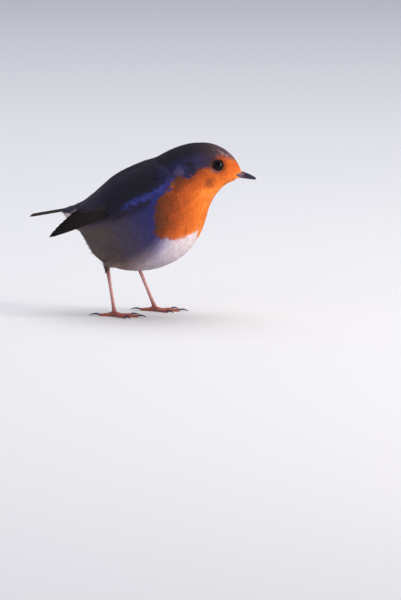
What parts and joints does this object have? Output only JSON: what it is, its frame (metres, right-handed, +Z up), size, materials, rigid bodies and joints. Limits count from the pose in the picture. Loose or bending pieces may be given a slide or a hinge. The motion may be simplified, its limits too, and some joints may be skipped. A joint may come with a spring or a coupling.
{
  "type": "european robin",
  "caption": "Life-size European robin, standing still on the floor with its body leaning forward, its wings folded and its bill closed.",
  "frame": {"origin": "on the floor under the bird, at the middle of the whole bird's bounding box", "axes": "+X the way the body faces, +Y the bird's left side, +Z up"},
  "size_m": [0.1208, 0.046, 0.0925],
  "materials": {
    "plumage_orange": "soft orange contour feathers of the face, throat and breast",
    "plumage_grey": "soft grey-buff to white feathers of the flanks, belly and thighs",
    "plumage_brown": "olive-brown feathers of the crown, back, rump and wing coverts",
    "flight_feathers": "smooth dark brown vanes with thin paler edges",
    "horn": "dark horn with a dull shine",
    "eye": "wet, near-black eye with a clear surface",
    "leg_skin": "scaly pinkish-brown skin"
  },
  "bodies": {
    "root": {"head": "plumage_orange", "neck": "plumage_orange", "breast": "plumage_orange", "trunk": "plumage_grey", "rump": "plumage_brown", "thigh_right": "plumage_grey", "thigh_left": "plumage_grey", "wing_right_coverts": "plumage_brown", "wing_left_coverts": "plumage_brown", "wing_right_secondaries": "flight_feathers", "wing_left_secondaries": "flight_feathers", "wing_right_primaries": "flight_feathers", "wing_left_primaries": "flight_feathers", "tail": "flight_feathers", "bill_upper": "horn", "bill_lower": "horn", "eye_right": "eye", "eye_left": "eye", "tarsus_right": "leg_skin", "tarsus_left": "leg_skin", "foot_right": "leg_skin", "foot_left": "leg_skin", "toe_right_middle": "leg_skin", "toe_right_inner": "leg_skin", "toe_right_outer": "leg_skin", "toe_right_hallux": "leg_skin", "toe_left_middle": "leg_skin", "toe_left_inner": "leg_skin", "toe_left_outer": "leg_skin", "toe_left_hallux": "leg_skin", "claw_right_middle": "horn", "claw_right_inner": "horn", "claw_right_outer": "horn", "claw_right_hallux": "horn", "claw_left_middle": "horn", "claw_left_inner": "horn", "claw_left_outer": "horn", "claw_left_hallux": "horn"}
  },
  "joints": []
}
